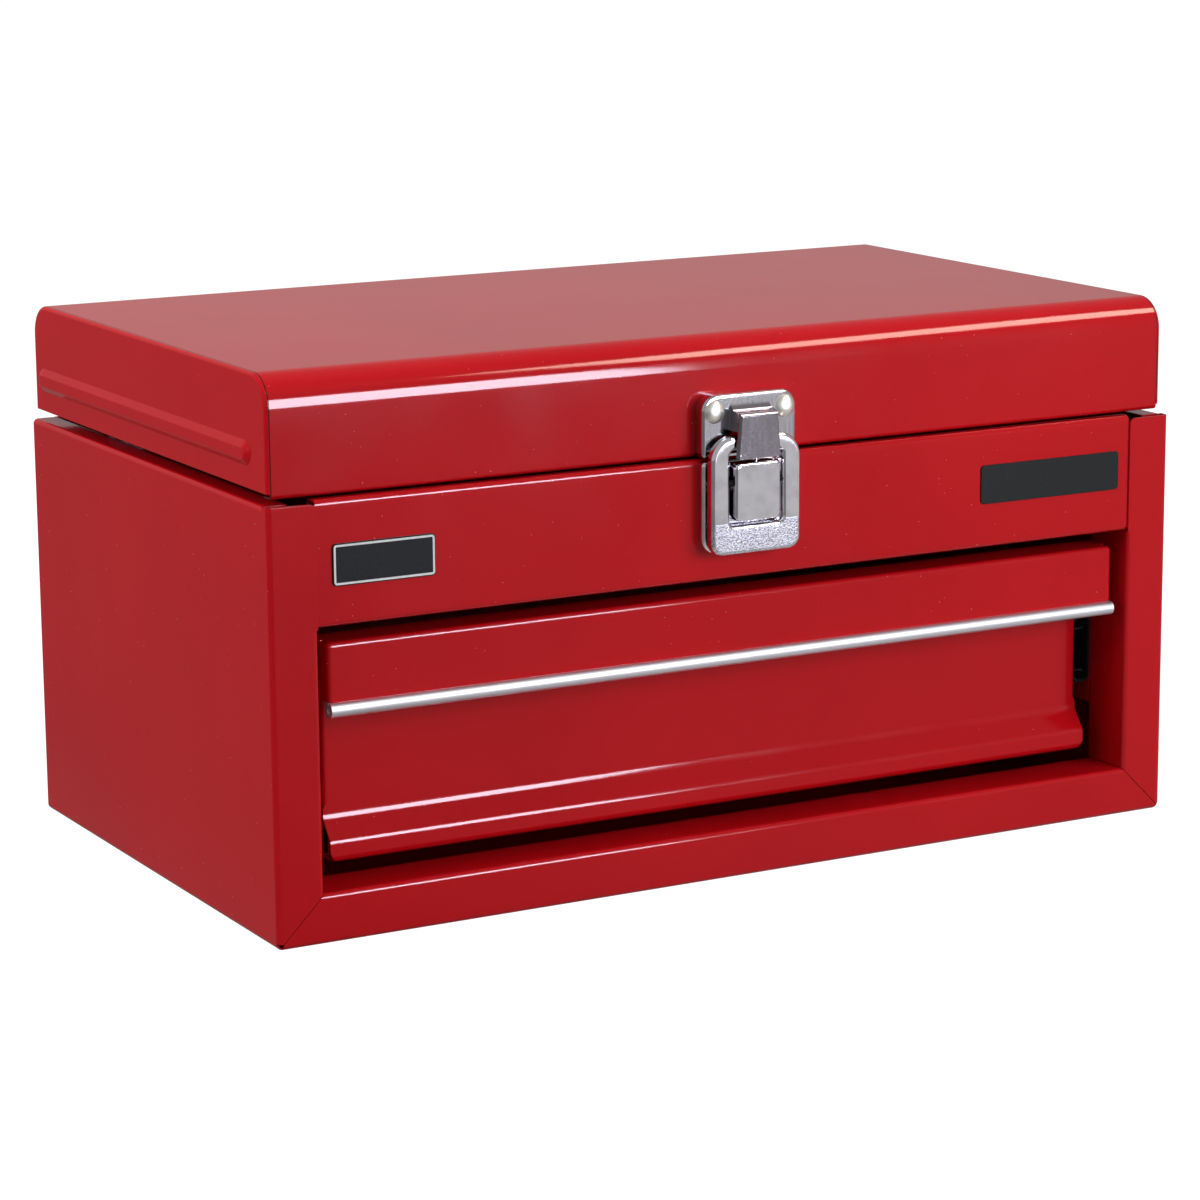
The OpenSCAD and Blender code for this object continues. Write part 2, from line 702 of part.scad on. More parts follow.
module lid_cover() {
    x = lid_x - end_edge_r;
    color(paint) difference() {
        along_x(-x, x)
            polygon(folded([[lid_y1, lid_rear_z], [lid_y1, lid_top], [lid_y0, lid_top],
                            [lid_y0, lid_z], [lid_y0 + skirt_hem, lid_z]], sheet_t,
                           [0, lid_r - sheet_t, lid_r - sheet_t, fold_r, 0], 12));
        mirrored() rod_y(lid_y0 - over, lid_y0 + sheet_t + over, rivet_r + run,
                         rivet_x, strike_rivet_z);
    }
}

// Section of the end plate's edge: rolled outside, then joggled to lie inside the cover.
module end_edge_section() {
    e = end_edge_r;
    t = sheet_t;
    inside = t + run;
    polygon(concat([[-e - over, -t], [-e - over, 0]],
                   [for (i = [0:6]) [-e + e * sin(i * 15), -e + e * cos(i * 15)]],
                   [[-inside, -e], [-inside, -end_flange],
                    [-inside - t, -end_flange], [-inside - t, -t]]));
}

// The right end plate, drawn flat with its X along the lid's depth and its Y up.
module end_plate_flat() {
    h = lid_top - end_z;
    e = end_edge_r + over / 2;
    mid = (lid_y0 + lid_y1) / 2;
    half = (lid_y1 - lid_y0) / 2;
    translate([mid, end_z, 0]) {
        mirrored() {
            translate([half - lid_r, h - lid_r, 0])
                rotate_extrude(angle = 90, $fn = 96) translate([lid_r, 0]) end_edge_section();
            translate([half, h - lid_r, 0]) rotate([90, 0, 0])
                linear_extrude(h - lid_r) end_edge_section();
        }
        translate([-half + lid_r, h, 0]) rotate([90, 0, 90])
            linear_extrude(2 * (half - lid_r)) end_edge_section();
        translate([0, 0, -sheet_t]) linear_extrude(sheet_t)
            polygon(concat([[-half + e, 0], [half - e, 0]],
                           quarter([half - lid_r, h - lid_r], lid_r - e, 0, 12),
                           quarter([-half + lid_r, h - lid_r], lid_r - e, 90, 12)));
    }
}

// Solid of the pressed rib, standing on Z 0.
module rib_solid() {
    r = rib_h / 2;
    y0 = lid_y0 + rib_front + r;
    y1 = lid_y1 - rib_rear - r;
    side = rounded_line([[0, rib_out], [0.45 * r, rib_out], [r, 0], [r, -sheet_t]],
                        [0, 1.6, 1.2, 0], 5);
    section = concat([[0, -sheet_t]], side);
    translate([0, end_z + rib_z, 0]) {
        for (end = [[y0, 90], [y1, 270]]) translate([end[0], 0, 0]) rotate([0, 0, end[1]])
            rotate_extrude(angle = 180, $fn = 48) polygon(section);
        translate([y0, 0, 0]) rotate([90, 0, 90]) linear_extrude(y1 - y0) {
            polygon(section);
            mirror([1, 0]) polygon(section);
        }
    }
}

module lid_end() {
    hem_top = lid_z + fold_out + free;
    color(paint) translate([lid_x, 0, 0]) rotate([90, 0, 90]) difference() {
        union() {
            end_plate_flat();
            rib_solid();
        }
        translate([0, 0, -sheet_t]) rib_solid();
        translate([lid_y0, hem_top - reach, -end_edge_r - reach])
            cube([3 * sheet_t, reach, reach]);
    }
}

// ---- Hinge ----

// Leaf with every second knuckle from the first one given; up is 1 for the lid's leaf.
module hinge_leaf(first, up) {
    clear = knuckle_r + free;
    z_far = hinge_z + up * leaf_h;
    z_near = hinge_z + up * clear;
    color(zinc) difference() {
        union() {
            along_x(-hinge_l / 2, hinge_l / 2)
                translate([leaf_y, min(z_far, z_near)]) square([sheet_t, leaf_h - clear]);
            for (i = [first:2:knuckles - 1]) {
                x = -hinge_l / 2 + i * knuckle_pitch + free / 2;
                rod_x(x, x + knuckle_pitch - free, knuckle_r, hinge_y, hinge_z);
                along_x(x, x + knuckle_pitch - free)
                    translate([leaf_y, min(hinge_z, z_near)]) square([sheet_t, clear + over / 4]);
            }
        }
        rod_x(-hinge_l / 2 - over, hinge_l / 2 + over, hinge_pin_r + run, hinge_y, hinge_z);
    }
}

module hinge_pin() {
    color(chrome) rod_x(-hinge_l / 2, hinge_l / 2, hinge_pin_r, hinge_y, hinge_z);
}

// ---- Latch ----

module latch_base() {
    color(chrome) difference() {
        facing_front(base_face_y)
            pressed_plate(-latch_w / 2, base_z, latch_w / 2, base_top, plate_corner_r,
                          plate_square_r, plate_rim, latch_t, plate_edge_r);
        mirrored() rod_y(base_face_y - over, base_face_y + latch_t + over,
                         rivet_r + run, lever_arm_x, base_rivet_z);
    }
}

module latch_block() {
    color(chrome) difference() {
        facing_front(block_y)
            pressed_plate(-hood_w / 2, block_z0, hood_w / 2, block_z1, block_corner_r,
                          block_corner_r, base_face_y - block_y, latch_t, block_edge_r);
        rod_x(-hood_w, hood_w, latch_pin_r + run, pivot_y, pivot_z);
        translate([spring_x1 - spring_slot / 2, spring_leg_y - spring_slot / 2,
                   block_z1 - 2 * latch_t])
            cube([spring_slot, base_face_y - spring_leg_y + spring_slot, 3 * latch_t]);
    }
}

module latch_pin() {
    x = window_w / 2 + latch_t + 1;
    color(chrome) rod_x(-x, x, latch_pin_r, pivot_y, pivot_z);
}

// Rivet with a domed head on y, a shank to y_back and a flat set head behind it.
module rivet(x, y, z, y_back, head_r, head_h) {
    dome_r = (head_r * head_r + head_h * head_h) / (2 * head_h);
    a = asin(head_r / dome_r);
    translate([x, y, z]) rotate([90, 0, 0]) rotate_extrude($fn = 48)
        polygon(concat([[0, 0]],
                       [for (i = [0:6]) [dome_r * sin(a * (1 - i / 6)),
                                         head_h - dome_r + dome_r * cos(a * (1 - i / 6))]]));
    rod_y(y - head_h / 4, y_back + over, rivet_r, x, z);
    rod_y(y_back, y_back + 1, 1.5 * rivet_r, x, z);
}

module latch_base_rivets() {
    color("wheat") mirrored()
        rivet(lever_arm_x, base_face_y, base_rivet_z, panel_y + sheet_t,
              base_rivet_head_r, base_rivet_head_h);
}

module strike_rivets() {
    color("wheat") mirrored()
        rivet(rivet_x, strike_face_y, strike_rivet_z, lid_y0 + sheet_t,
              rivet_head_r, rivet_head_h);
}

// Everything to the left of the hood's right side, which leans inward by the taper.
module hood_side(inset) {
    y = hood_y + inset;
    translate([hood_w / 2, 0, strike_z]) rotate([0, -hood_taper, 0]) along_z(-hood_w, 2 * hood_w)
        polygon(rounded_line([[-2 * hood_w, lid_y0], [-2 * hood_w, y], [-inset, y],
                              [-inset, lid_y0]], [0, 0, hood_edge_r - inset, 0], 6));
}

// Solid of the catch hood, smaller by inset on its front, top and sides.
module hood_solid(inset) {
    y = hood_y + inset;
    low = strike_z - inset;
    top = strike_z + hood_h - inset;
    back = strike_face_y + latch_t / 2 + inset;
    root = strike_face_y - hood_root + inset / 2;
    intersection() {
        along_x(-hood_w, hood_w)
            polygon(rounded_line([[back, low], [y, low], [y, top], [root, top + hood_slope],
                                  [back, top + hood_slope + back - root], [back, low]],
                                 [0, 0, hood_edge_r - inset, hood_root, 0, 0], 6));
        hood_side(inset);
        mirror([1, 0, 0]) hood_side(inset);
    }
}

// Bead along the hood's lip.
module hood_bead() {
    intersection() {
        hood_side(-bead_out);
        mirror([1, 0, 0]) hood_side(-bead_out);
        translate([-hood_w, hood_y - 1, strike_z]) cube([2 * hood_w, 2, bead_h]);
    }
}

module strike_plate() {
    lip_y = hood_y + 1.5 * latch_t;
    color(chrome) difference() {
        union() {
            facing_front(strike_face_y)
                pressed_plate(-latch_w / 2, strike_z, latch_w / 2, strike_z + strike_h,
                              plate_square_r, plate_corner_r, strike_rim, latch_t, plate_edge_r);
            hood_solid(0);
            hood_bead();
        }
        hood_solid(latch_t);
        translate([-hood_w, lip_y, strike_z - over])
            cube([2 * hood_w, strike_face_y - lip_y, lip_h + over]);
        mirrored() rod_y(strike_face_y - over, strike_face_y + latch_t + over, rivet_r + run,
                         rivet_x, strike_rivet_z);
    }
}

// Ring pressed from sheet, with a rolled rim outside and round its window.
module lever_ring() {
    hx = lever_w / 2;
    wx = window_w / 2;
    edge = lever_edge_r + over / 2;
    facing_front(lever_y) {
        difference() {
            pressed_plate(-hx, lever_z0, hx, lever_z1, lever_corner_r, lever_shoulder_r,
                          lever_depth, latch_t, lever_edge_r);
            translate([0, 0, -latch_t - over]) linear_extrude(latch_t + 2 * over)
                polygon(rounded_box(-wx - edge, window_z0 - edge, wx + edge,
                                    window_z1 + edge, window_r + edge, window_r + edge));
        }
        rim_around(-wx, window_z0, wx, window_z1, window_r, window_r, true)
            rim_section(lever_depth, latch_t, lever_edge_r);
    }
}

module latch_lever() {
    wx = window_w / 2;
    color(chrome) difference() {
        lever_ring();
        rod_x(-wx - 2 * latch_t, wx + 2 * latch_t, latch_pin_r + run, pivot_y, pivot_z);
        translate([-lever_w, bar_back_y, base_top - free])
            cube([2 * lever_w, lever_depth, lever_w]);
    }
}

// Round wire along a line of points.
module wire(points, r, sides = 8) {
    n = len(points);
    dirs = [for (i = [0:n - 1]) unit(points[min(i + 1, n - 1)] - points[max(i - 1, 0)])];
    rings = [for (i = [0:n - 1])
                 let (d = dirs[i], u = unit(cross(d, wire_side)), v = cross(d, u))
                 for (k = [0:sides - 1])
                     points[i] + r * (cos(360 * k / sides) * u + sin(360 * k / sides) * v)];
    walls = [for (i = [0:n - 2], k = [0:sides - 1])
                 let (a = i * sides + k, b = i * sides + (k + 1) % sides)
                 each [[a, b, b + sides], [a, b + sides, a + sides]]];
    polyhedron(rings, concat(walls, [[for (k = [sides - 1:-1:0]) k]],
                             [[for (k = [0:sides - 1]) (n - 1) * sides + k]]));
}

wire_side = [0.9, 0.3, 0.2];

// Torsion spring on the pivot pin: one leg bears on the base, one on the lever's bar.
module latch_spring() {
    steps = 16;
    coil = [for (i = [0:spring_turns * steps])
                let (a = 360 * i / steps)
                [spring_x0 + spring_pitch * i / steps, pivot_y + spring_r * cos(a),
                 pivot_z + spring_r * sin(a)]];
    low_leg = [[spring_x0, base_face_y - spring_wire_r - run, pivot_z - 12],
               [spring_x0, spring_leg_y, pivot_z - 3]];
    high_leg = [[spring_x1, spring_leg_y, pivot_z + 3],
                [spring_x1, spring_leg_y, spring_top]];
    color("dimgray") wire(concat(low_leg, coil, high_leg), spring_wire_r);
}

// ---- Lid stay, inside the right wall ----

module stay_stud(z, wall) {
    color(zinc) {
        rod_x(stay_x - free - stud_r, stay_x - free, stud_r + 1.5, stay_y, z);
        rod_x(stay_x - free - over, wall, stud_r, stay_y, z);
        rod_x(stay_x + stay_t + free, wall, collar_r, stay_y, z);
    }
}

module stay_body_stud() {
    stay_stud(hinge_z - stay_rise, half_w - sheet_t);
}

module stay_lid_stud() {
    stay_stud(hinge_z + stay_rise, lid_x - sheet_t);
}

module lid_stay() {
    z_pin = hinge_z + stay_rise;
    z_near = z_pin - 2 * stay_rise + free;       // slot's ends: centres of their round ends
    z_far = z_pin - stay_far - free;
    color(zinc) difference() {
        union() {
            rod_x(stay_x, stay_x + stay_t, stay_w / 2, stay_y, z_pin);
            rod_x(stay_x, stay_x + stay_t, stay_tip, stay_y, z_far);
            translate([stay_x, stay_y - stay_w / 2, z_far]) cube([stay_t, stay_w, z_pin - z_far]);
        }
        rod_x(stay_x - 1, stay_x + stay_t + 1, stud_r + run, stay_y, z_pin);
        rod_x(stay_x - 1, stay_x + stay_t + 1, slot_r, stay_y, z_near);
        rod_x(stay_x - 1, stay_x + stay_t + 1, slot_r, stay_y, z_far);
        translate([stay_x - 1, stay_y - slot_r, z_far])
            cube([stay_t + 2, 2 * slot_r, z_near - z_far]);
    }
}

// ---- Drawer ----

// One sheet: foot, sweep, recessed face, top and pull.
module front_section() {
    y0 = face_y + sheet_t;
    crest_y = face_y - sweep_out + sheet_t;
    polygon(folded([[y0 + foot_back, drawer_z + sheet_t], [crest_y, drawer_z + sheet_t],
                    [crest_y, drawer_z + sweep_h / 2], [y0, drawer_z + sweep_h],
                    [y0, drawer_top], [pull_y, drawer_top], [pull_y, lip_z]],
                   sheet_t, [0, 3, sweep_r / 2, sweep_r, fold_r, fold_r, 0], 8));
}

// An eighth of a hollow ball, that closes a corner between three folds.
module fold_corner(x, y, z) {
    translate([x, y, z]) rotate([0, 0, -90]) rotate_extrude(angle = 90, $fn = 24)
        polygon(concat([for (i = [0:6]) fold_out * [cos(i * 15), sin(i * 15)]],
                       [for (i = [6:-1:0]) fold_r * [cos(i * 15), sin(i * 15)]]));
}

module drawer_front() {
    x = face_x - fold_out;
    end_x = pull_x - fold_out;
    bend_y = pull_y + fold_out;
    cheek_y = pull_y + pull_cheek;
    shelf_y = face_y - fold_out;
    cheek_z0 = trim_z + trim_d / 2 + free;
    cheek_z1 = drawer_top - fold_out;
    z_straight = drawer_z + sweep_h + 3;
    color(paint) {
        intersection() {
            along_x(-pull_x, pull_x) front_section();
            union() {
                along_y(front_y, rear_y) {
                    translate([-x, drawer_z - over]) square([2 * x, drawer_top]);
                    polygon(rounded_box(-face_x, drawer_z, face_x, z_straight + face_corner_r,
                                        face_corner_r, face_corner_r));
                }
                translate([-end_x, front_y, lip_z - over])
                    cube([2 * end_x, shelf_y - front_y, pull_h + 2 * over]);
            }
        }
        mirrored() {
            along_z(z_straight, cheek_z1)
                polygon(folded([[x - over, face_y], [face_x, face_y],
                                [face_x, face_y + face_return]], sheet_t, [0, fold_r, 0]));
            along_z(cheek_z0, cheek_z1)
                polygon(folded([[end_x - over, pull_y], [pull_x, pull_y], [pull_x, cheek_y]],
                               sheet_t, [0, fold_r, 0]));
            along_y(bend_y, cheek_y)
                polygon(folded([[pull_x, cheek_z1 - over], [pull_x, drawer_top],
                                [end_x - over, drawer_top]], sheet_t, [0, fold_r, 0]));
            fold_corner(end_x, bend_y, cheek_z1);
            translate([end_x - over, cheek_y - over, drawer_top - sheet_t])
                cube([fold_out + over, shelf_y - cheek_y + over, sheet_t]);
        }
    }
}

module drawer_tray() {
    z1 = tray_top;
    inner_x = drawer_x - fold_out;
    color(paint) difference() {
        union() {
            along_y(tray_y0 + fold_out, tray_y1 - fold_out)
                polygon(folded([[-drawer_x + tray_hem, z1], [-drawer_x, z1],
                                [-drawer_x, tray_z], [drawer_x, tray_z],
                                [drawer_x, z1], [drawer_x - tray_hem, z1]], sheet_t,
                               [0, fold_r, fold_r, fold_r, fold_r, 0]));
            along_x(-inner_x, inner_x)
                polygon(folded([[tray_y0, z1], [tray_y0, tray_z], [tray_y1, tray_z],
                                [tray_y1, z1]], sheet_t, [0, fold_r, fold_r, 0]));
        }
        mirrored() drawer_rivet_holes();
    }
}

module drawer_rivets() {
    color(zinc) mirrored() for (y = rivet_ys) {
        rod_x(drawer_x + slide_t, drawer_x + 2 * slide_t, 1.8 * drawer_rivet_r, y, slide_z);
        rod_x(drawer_x - sheet_t - over, drawer_x + slide_t + over, drawer_rivet_r, y, slide_z);
        rod_x(drawer_x - 2 * sheet_t, drawer_x - sheet_t, 1.6 * drawer_rivet_r, y, slide_z);
    }
}

trim_y = pull_y;                                     // middle of the trim
trim_bore_r = trim_d / 2 - trim_t;
trim_z = lip_z + sqrt(trim_bore_r * trim_bore_r - sheet_t * sheet_t) - run;

// Extruded aluminium trim whose slot grips the pull's lower edge.
module drawer_trim() {
    x = pull_x - trim_end_gap;
    color("gainsboro") difference() {
        rod_x(-x, x, trim_d / 2, trim_y, trim_z);
        rod_x(-x - 1, x + 1, trim_bore_r, trim_y, trim_z);
        translate([-x - 1, pull_y, trim_z]) cube([2 * x + 2, sheet_t, trim_d]);
    }
}

body_shell();
rear_panel();
front_panel();
compartment_floor();
mirror([1, 0, 0]) slide_panel();  // slide_panel_left
slide_panel();  // slide_panel_right
mirror([1, 0, 0]) slide_rail();  // slide_rail_left
slide_rail();  // slide_rail_right
hinge_leaf(0, -1);  // hinge_leaf_body
hinge_pin();
latch_base();
latch_block();
latch_base_rivets();
latch_pin();
stay_body_stud();
lid_cover();
mirror([1, 0, 0]) lid_end();  // lid_end_left
lid_end();  // lid_end_right
hinge_leaf(1, 1);  // hinge_leaf_lid
strike_plate();
strike_rivets();
stay_lid_stud();
latch_lever();
latch_spring();
lid_stay();
drawer_front();
drawer_tray();
drawer_rivets();
drawer_trim();
mirror([1, 0, 0]) slide_runner();  // slide_runner_left
slide_runner();  // slide_runner_right
mirror([1, 0, 0]) ball_retainer();  // ball_retainer_left
ball_retainer();  // ball_retainer_right
mirror([1, 0, 0]) slide_balls();  // slide_balls_left
slide_balls();  // slide_balls_right
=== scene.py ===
from math import radians, tan

import bmesh
import bpy
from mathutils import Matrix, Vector


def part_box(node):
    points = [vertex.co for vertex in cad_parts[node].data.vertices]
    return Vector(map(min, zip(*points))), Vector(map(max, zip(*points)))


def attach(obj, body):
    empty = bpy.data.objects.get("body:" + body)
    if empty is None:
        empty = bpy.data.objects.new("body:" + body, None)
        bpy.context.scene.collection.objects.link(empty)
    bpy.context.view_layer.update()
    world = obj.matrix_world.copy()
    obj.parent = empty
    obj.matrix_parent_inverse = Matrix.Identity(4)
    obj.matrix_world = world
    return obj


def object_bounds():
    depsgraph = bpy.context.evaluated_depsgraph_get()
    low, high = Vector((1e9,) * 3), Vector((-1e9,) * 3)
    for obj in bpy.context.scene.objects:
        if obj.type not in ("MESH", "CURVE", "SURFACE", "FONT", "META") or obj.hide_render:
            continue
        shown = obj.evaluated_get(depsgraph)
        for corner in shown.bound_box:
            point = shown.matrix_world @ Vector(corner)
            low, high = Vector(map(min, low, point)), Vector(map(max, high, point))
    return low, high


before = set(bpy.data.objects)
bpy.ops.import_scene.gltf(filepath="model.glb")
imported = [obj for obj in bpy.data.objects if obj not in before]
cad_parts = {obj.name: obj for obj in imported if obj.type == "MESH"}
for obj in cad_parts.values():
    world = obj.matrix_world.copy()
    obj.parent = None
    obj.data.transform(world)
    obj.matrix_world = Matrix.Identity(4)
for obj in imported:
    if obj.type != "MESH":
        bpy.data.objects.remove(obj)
cad_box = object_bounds()
MM = 0.001


# Camera
# A long lens about two metres off, a little above the lid and to the left, as the box was
# photographed: the front, the left side and the top all show.
camera_data = bpy.data.cameras.new("camera")
camera_data.sensor_width = 36
camera_data.lens = 115.99
camera_data.clip_end = 100
camera = bpy.data.objects.new("camera", camera_data)
camera.location = (-0.93875, -1.70777, 0.52590)
camera.rotation_euler = (radians(77.9733), radians(0.4330), radians(-28.9005))
bpy.context.scene.collection.objects.link(camera)
bpy.context.scene.camera = camera
bpy.context.scene.view_settings.view_transform = "Standard"


# Floor and backdrop
# One wide sheet of white studio paper under the box. The camera sees it near white with a soft
# shadow. The metal and the paint see it darker, and darker still at the left as painted shade.
FLOOR_SIZE = 90
FLOOR_TO_CAMERA = 0.96
FLOOR_TO_GLOSS = 0.5
FLOOR_LEFT_TO_GLOSS = 0.18
FLOOR_TO_MATT = 0.22
LEFT_SHADE_FULL_X = -0.35
LEFT_SHADE_NONE_X = 0.05


def add_node(tree, kind, sockets=None, **settings):
    """A node of this kind, with its settings and the values of its sockets."""
    made = tree.nodes.new(kind)
    for name, value in settings.items():
        setattr(made, name, value)
    for name, value in (sockets or {}).items():
        made.inputs[name].default_value = value
    return made


bpy.ops.object.select_all(action="DESELECT")
bpy.ops.mesh.primitive_plane_add(size=FLOOR_SIZE, location=(0, 0, 0))
floor = bpy.context.object
floor.name = "floor"

paper = bpy.data.materials.new("studio_paper")
paper.use_nodes = True
tree = paper.node_tree
tree.nodes.clear()
path = add_node(tree, "ShaderNodeLightPath")
matt = add_node(tree, "ShaderNodeBsdfDiffuse")
not_gloss = add_node(tree, "ShaderNodeMath", {1: -FLOOR_TO_MATT, 2: FLOOR_TO_MATT},
                     operation="MULTIPLY_ADD")
glow = add_node(tree, "ShaderNodeEmission", {"Color": (1, 1, 1, 1)})
for_camera = add_node(tree, "ShaderNodeMath", {1: FLOOR_TO_CAMERA}, operation="MULTIPLY")
for_gloss = add_node(tree, "ShaderNodeMath", operation="MULTIPLY")
spot = add_node(tree, "ShaderNodeTexCoord")
across = add_node(tree, "ShaderNodeSeparateXYZ")
# Painted shade: the floor's glow, as the metal and the paint reflect it, fades darker towards the left.
left_painted_shade = add_node(tree, "ShaderNodeMapRange",
                   {"From Min": LEFT_SHADE_FULL_X, "From Max": LEFT_SHADE_NONE_X,
                    "To Min": FLOOR_LEFT_TO_GLOSS, "To Max": FLOOR_TO_GLOSS},
                   interpolation_type="SMOOTHSTEP")
both = add_node(tree, "ShaderNodeMath", operation="ADD")
seen_through = add_node(tree, "ShaderNodeMath", operation="MAXIMUM")
lit = add_node(tree, "ShaderNodeAddShader")
paper_out = add_node(tree, "ShaderNodeOutputMaterial")
tree.links.new(path.outputs["Is Camera Ray"], seen_through.inputs[0])
tree.links.new(path.outputs["Is Transmission Ray"], seen_through.inputs[1])
tree.links.new(seen_through.outputs[0], for_camera.inputs[0])
tree.links.new(spot.outputs["Object"], across.inputs["Vector"])
tree.links.new(across.outputs["X"], left_painted_shade.inputs["Value"])
tree.links.new(path.outputs["Is Glossy Ray"], for_gloss.inputs[0])
tree.links.new(left_painted_shade.outputs["Result"], for_gloss.inputs[1])
tree.links.new(for_camera.outputs[0], both.inputs[0])
tree.links.new(for_gloss.outputs[0], both.inputs[1])
tree.links.new(both.outputs[0], glow.inputs["Strength"])
tree.links.new(path.outputs["Is Glossy Ray"], not_gloss.inputs[0])
tree.links.new(not_gloss.outputs[0], matt.inputs["Color"])
tree.links.new(matt.outputs[0], lit.inputs[0])
tree.links.new(glow.outputs[0], lit.inputs[1])
tree.links.new(lit.outputs[0], paper_out.inputs["Surface"])
floor.data.materials.append(paper)


# Studio
# The pale room all round, dimmer for what the paint reflects and dimmer again as fill light.
ROOM_TO_CAMERA = 1.0
ROOM_TO_GLOSS = 0.38
ROOM_TO_MATT = 0.32

room = bpy.data.worlds.new("studio_room")
room.use_nodes = True
bpy.context.scene.world = room
tree = room.node_tree
tree.nodes.clear()
path = add_node(tree, "ShaderNodeLightPath")
walls = add_node(tree, "ShaderNodeBackground", {"Color": (1, 1, 1, 1)})
seen_through = add_node(tree, "ShaderNodeMath", operation="MAXIMUM")
not_matt = add_node(tree, "ShaderNodeMath", {1: ROOM_TO_GLOSS - ROOM_TO_MATT, 2: ROOM_TO_MATT},
                    operation="MULTIPLY_ADD")
level = add_node(tree, "ShaderNodeMath", {1: ROOM_TO_CAMERA - ROOM_TO_MATT}, operation="MULTIPLY_ADD")
room_out = add_node(tree, "ShaderNodeOutputWorld")
tree.links.new(path.outputs["Is Camera Ray"], seen_through.inputs[0])
tree.links.new(path.outputs["Is Transmission Ray"], seen_through.inputs[1])
tree.links.new(path.outputs["Is Glossy Ray"], not_matt.inputs[0])
tree.links.new(seen_through.outputs[0], level.inputs[0])
tree.links.new(not_matt.outputs[0], level.inputs[2])
tree.links.new(level.outputs[0], walls.inputs["Strength"])
tree.links.new(walls.outputs[0], room_out.inputs["Surface"])


# Lamps
# Three large soft lamps light the matt surfaces. The softboxes are only there to be mirrored: a
# cool one in front, a warm one high on the right for the lid, and one each for trim and lever.
COOL = (0.78, 0.85, 1.0)
WARM = (1.0, 0.86, 0.72)
BLUISH = (0.82, 0.85, 1.0)


def soft_lamp(name, place, aim, width, tall, power, colour=(1, 1, 1)):
    """A rectangular lamp that faces a point and that the camera doesn't see."""
    data = bpy.data.lights.new(name, "AREA")
    data.shape = "RECTANGLE"
    data.size = width
    data.size_y = tall
    data.energy = power
    data.color = colour
    lamp = bpy.data.objects.new(name, data)
    lamp.location = place
    lamp.rotation_euler = (lamp.location - aim).to_track_quat("Z", "Y").to_euler()
    lamp.visible_camera = False
    bpy.context.scene.collection.objects.link(lamp)
    return lamp


middle = (cad_box[0] + cad_box[1]) / 2
key = soft_lamp("key_lamp", (0.70, -1.30, 0.42), middle, 1.00, 0.75, 15.5)
overhead = soft_lamp("overhead_lamp", (-0.10, 0.10, 1.50), middle, 1.10, 0.90, 12)
fill = soft_lamp("fill_lamp", (-1.50, 0.00, 0.80), middle, 0.90, 0.90, 15.5)
for lamp in (key, overhead, fill):
    lamp.visible_glossy = False

ahead = Vector((0.36, 0.0, 0.46))
ahead_of_strip = Vector((0.0, 0.0, 1.30))
ahead_of_lever_box = Vector((0.70, 0.0, 0.31))
cool_box = soft_lamp("cool_softbox", (0.36, -1.30, 0.46), ahead, 0.52, 0.66, 44, COOL)
warm_box = soft_lamp("warm_softbox", (0.92, -0.85, 1.30), middle, 0.75, 0.36, 17, WARM)
for lamp in (cool_box, warm_box):
    lamp.visible_diffuse = False

trim_strip = soft_lamp("trim_strip", (0.00, -1.60, 1.30), ahead_of_strip, 3.00, 2.60, 60)
lever_box = soft_lamp("lever_softbox", (0.70, -1.30, 0.31), ahead_of_lever_box, 0.80, 0.60, 2.35, BLUISH)

for lamp, state, names in (
        (cool_box, "EXCLUDE", ("drawer_trim", "latch_lever")),
        (warm_box, "EXCLUDE", ("drawer_trim", "drawer_front", "front_panel", "body_shell")),
        (trim_strip, "INCLUDE", ("drawer_trim",)),
        (lever_box, "INCLUDE", ("latch_lever",))):
    linked = bpy.data.collections.new(lamp.name + "_pieces")
    for name in names:
        linked.objects.link(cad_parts[name])
    for entry in linked.collection_objects:
        entry.light_linking.link_state = state
    lamp.light_linking.receiver_collection = linked


# Case
# The case is folded from mild steel sheet, spot-welded, and sprayed inside and out with a gloss
# red stoving enamel, which has a slight orange peel and holds a few specks of dust.
ENAMEL_RED = (0.47, 0.004, 0.008)
ENAMEL_DEEP = (0.42, 0.003, 0.007)
DUST = (0.62, 0.30, 0.30)
# Painted shade: the much darker red of the shaded seams where the lid's end plates meet its sheet.
SEAM_SHADE_RED = (0.06, 0.001, 0.002)
SEAM_HALF = 0.28 * MM
EDGE_SOFT = 0.45 * MM
JOIN_WITHIN = 0.01 * MM
GENTLE_BEND = 32


def smooth_bends():
    """A modifier's node group: loose triangles are joined, and bends of small steps are smoothed."""
    group = bpy.data.node_groups.new("smooth_bends", "GeometryNodeTree")
    group.interface.new_socket("Geometry", in_out="INPUT", socket_type="NodeSocketGeometry")
    group.interface.new_socket("Geometry", in_out="OUTPUT", socket_type="NodeSocketGeometry")
    piece_in = add_node(group, "NodeGroupInput")
    joined = add_node(group, "GeometryNodeMergeByDistance", {"Distance": JOIN_WITHIN})
    plain = add_node(group, "GeometryNodeRemoveAttribute", {"Name": "custom_normal"})
    faces = add_node(group, "GeometryNodeSetShadeSmooth", {"Shade Smooth": True})
    angle = add_node(group, "GeometryNodeInputMeshEdgeAngle")
    gentle = add_node(group, "FunctionNodeCompare", {1: radians(GENTLE_BEND)}, operation="LESS_THAN")
    edges = add_node(group, "GeometryNodeSetShadeSmooth", domain="EDGE")
    piece_out = add_node(group, "NodeGroupOutput")
    group.links.new(piece_in.outputs[0], joined.inputs[0])
    group.links.new(joined.outputs[0], plain.inputs[0])
    group.links.new(plain.outputs[0], faces.inputs[0])
    group.links.new(angle.outputs["Unsigned Angle"], gentle.inputs[0])
    group.links.new(faces.outputs[0], edges.inputs[0])
    group.links.new(gentle.outputs[0], edges.inputs["Shade Smooth"])
    group.links.new(edges.outputs[0], piece_out.inputs[0])
    return group


bends = smooth_bends()


